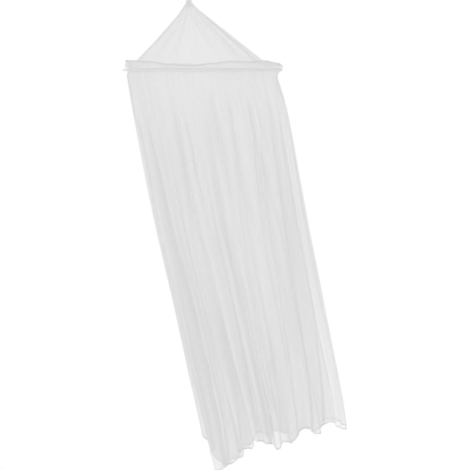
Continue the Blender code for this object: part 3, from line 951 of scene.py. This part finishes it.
def casing_surface():
    """The casing's points, from its outer edge round the rod to its inner one, and its angles."""
    angle = np.arange(CASING_COLUMNS) / CASING_COLUMNS * 360.0
    p = angle / 360
    top = band_height(angle) + FRILL.at(p) + FINE_FRILL.at(p)
    tab = bump(away_from(angle, TAB_ANGLE) / TAB_REACH) * TAB_OUT
    rings = []

    def ring(outward, height):
        rings.append(ring_of(angle, HOOP_RADIUS + outward, HOOP_Z + height, HOOP_X))

    for t in LEAF_STEPS:
        wave = (OUTER_WAVE.at(p, t) + OUTER_FINE_WAVE.at(p, t)) * (1 - t) ** 0.6
        outward = mixed(CASING_LIP, CASING_SIDE, eased(t)) + OUTER_GAP + wave
        ring(outward, mixed(top, LEAF_FOOT, t))
    side = CASING_SIDE + PINCH.at(p)
    for a in ROUND_ROD:
        sag = ROD_SAG * max(0.0, -np.sin(a)) * (1 - tab / TAB_OUT)
        ring(side * np.cos(a) + (tab if -1.0 < a < 0.3 else 0), side * np.sin(a) - sag)
    for t in LEAF_STEPS:
        wave = INNER_WAVE.at(p, t) * t
        inward = mixed(CASING_SIDE, CASING_LIP, eased(t)) + wave
        ring(-inward, mixed(LEAF_FOOT, top - INNER_LOWER, t))
    return np.array(rings), angle


def casing_gather(angle, count):
    """How many times its own width the casing is gathered.

    The two leaves are gathered on the drawn-up strip, and the cloth is stretched over the rod.
    """
    row = np.arange(count)[:, None]
    over_rod = eased((row - 6) / 2) * (1 - eased((row - 21) / 2))
    to_front = eased(0.5 - 0.6 * np.sin(np.radians(angle)))
    under_rod = bump((row - 12.2 - 1.2 * np.cos(np.radians(angle))) / 3)
    leaves = 1.76 + MOTTLE.at(angle / 360, row / count)
    stretched = mixed(0.12, 0.85, to_front) + mixed(0.10, 0.70, to_front) * under_rod
    drawn = 1.2 * bump(away_from(angle, ENDS_ANGLE) / ENDS_REACH) - 0.5 * bump((angle - 180) / 20)
    times = mixed(leaves, stretched, over_rod) * (1 - 0.5 * drawn * (1 - over_rod))
    return times + 3.0 * bump((angle - TAB_ANGLE) / 1.6) * over_rod


casing_points, casing_angle = casing_surface()
casing_u = np.arange(CASING_COLUMNS + 1) / CASING_COLUMNS * tau * HOOP_RADIUS
casing_uv = weave_at(casing_u, length_down(casing_points))
casing_times = casing_gather(casing_angle, len(casing_points))
casing = sheet_mesh("casing_net", casing_points, casing_uv, CASING_NET, casing_times)
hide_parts("hoop_casing")
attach(casing, "root")

edge = casing_points[0]
up = unit(edge - casing_points[2])
out = normals_of(casing_points)[0]
size = (FRILL_HALF_WIDTH, FRILL_HALF_THICK)
casing_hem = tube_mesh("casing_hem", edge - up * 0.0012, up, out, *size, HEM_NET)
set_gather(casing_hem.data, 0.7)
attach(casing_hem, "root")

# ---------------------------------------------------------------------------------------------
# Hoop and loop

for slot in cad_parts["hoop"].material_slots:
    slot.material = PLASTIC

LOOP_STEPS = 240
STRANDS, TWISTS = 3, 14
STRAND_OUT, STRAND_RADIUS = 0.00112, 0.00122  # from the cord's middle, and of each strand
EYE_LEAN = 0.0030  # towards -X


def loop_path():
    """The middle of the loop's cord, right round, in even steps."""
    half = LOOP[:, ::-1]
    ring = np.vstack([half, half[::-1] * (-1, 1)])
    closed = np.vstack([ring, ring[:1]])
    for _ in range(3):  # round the corners off
        a, b = closed[:-1], closed[1:]
        closed = np.stack([a * 0.75 + b * 0.25, a * 0.25 + b * 0.75], 1).reshape(-1, 2)
        closed = np.vstack([closed, closed[:1]])
    run = np.concatenate([[0], np.cumsum(np.linalg.norm(np.diff(closed, axis=0), axis=1))])
    at = np.arange(LOOP_STEPS) / LOOP_STEPS * run[-1]
    x, z = np.interp(at, run, closed[:, 0]), np.interp(at, run, closed[:, 1])
    x = x - EYE_LEAN * eased((z + 0.0185) / 0.015)
    return np.column_stack([x, np.zeros(LOOP_STEPS), z])


path = loop_path()
ahead = unit(np.roll(path, -1, 0) - np.roll(path, 1, 0))
aside = np.broadcast_to([0.0, 1.0, 0.0], path.shape)
outward = np.cross(aside, ahead)
for k in range(STRANDS):
    turn = (np.arange(LOOP_STEPS) / LOOP_STEPS * tau * TWISTS + k * tau / STRANDS)[:, None]
    strand = path + STRAND_OUT * (outward * np.cos(turn) + aside * np.sin(turn))
    size = (STRAND_RADIUS, STRAND_RADIUS)
    piece = tube_mesh(f"loop_strand_{k + 1}", strand, outward, aside, *size, CORD, sides=10)
    if k == 0:
        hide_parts("hanging_loop")
    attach(piece, "root")

# ---------------------------------------------------------------------------------------------
# Floor, light and camera

FLOOR_Z, FLOOR_RADIUS = -2.3, 2.4
FADE_FROM, FADE_TO = 0.9, FLOOR_RADIUS * 0.98  # where the floor melts into the backdrop
BACKDROP, SOFT_LIGHT = 1.0, 0.745  # as the camera sees it, and as it lights the net
SUN_STRENGTH, SUN_ANGLE, SUN_TURN = 0.22, 0.9, (0.65, -0.45, 0.0)
LENS, SENSOR, FAR = 181.2, 36.0, 400
CAMERA, AIM = (0.1748, -9.0, -0.17), (0.1748, 0.0, -0.913)


def floor_paper():
    """Pale paper that fades out towards its rim."""
    n = Nodes("floor_paper")
    place = n.put("ShaderNodeTexCoord").outputs["Object"]
    ends = {"From Min": FADE_FROM, "From Max": FADE_TO, "To Min": 1.0, "To Max": 0.0}
    ends["Value"] = n.vector("LENGTH", place, out=1)
    rim = n.put("ShaderNodeMapRange", ends, interpolation_type="SMOOTHERSTEP").outputs[0]
    n.set(Base_Color=(0.93, 0.93, 0.93, 1), Roughness=0.9, Specular_IOR_Level=0.1, Alpha=rim)
    return n.material


disc = bmesh.new()
bmesh.ops.create_circle(disc, cap_ends=True, segments=96, radius=FLOOR_RADIUS)
floor_mesh = bpy.data.meshes.new("floor")
disc.to_mesh(floor_mesh)
disc.free()
floor_mesh.materials.append(floor_paper())
floor = bpy.data.objects.new("floor", floor_mesh)
floor.location = (0.17, 0.0, FLOOR_Z)
bpy.context.scene.collection.objects.link(floor)

scene = bpy.context.scene
world = bpy.data.worlds.new("studio")
scene.world = world
world.use_nodes = True
background = world.node_tree.nodes["Background"]
background.inputs["Color"].default_value = (1, 1, 1, 1)
# a white backdrop behind the net, with softer light on it from all round
seen = world.node_tree.nodes.new("ShaderNodeLightPath").outputs["Is Camera Ray"]
level = world.node_tree.nodes.new("ShaderNodeMath")
level.operation = "MULTIPLY_ADD"
world.node_tree.links.new(seen, level.inputs[0])
level.inputs[1].default_value, level.inputs[2].default_value = BACKDROP - SOFT_LIGHT, SOFT_LIGHT
world.node_tree.links.new(level.outputs[0], background.inputs["Strength"])

sun = bpy.data.lights.new("softbox", "SUN")
sun.energy, sun.angle = SUN_STRENGTH, SUN_ANGLE
lamp = bpy.data.objects.new("softbox", sun)
lamp.rotation_euler = SUN_TURN
scene.collection.objects.link(lamp)

camera_data = bpy.data.cameras.new("camera")
camera_data.lens, camera_data.sensor_width, camera_data.clip_end = LENS, SENSOR, FAR
camera = bpy.data.objects.new("camera", camera_data)
camera.location = CAMERA
ahead = Vector(np.array(AIM) - np.array(camera.location))
camera.rotation_euler = ahead.to_track_quat("-Z", "Y").to_euler()
scene.collection.objects.link(camera)
scene.camera = camera
scene.view_settings.view_transform = "Standard"
scene.cycles.transparent_max_bounces = 48
scene.cycles.max_bounces = 10
scene.cycles.diffuse_bounces = 6

bpy.context.view_layer.update()
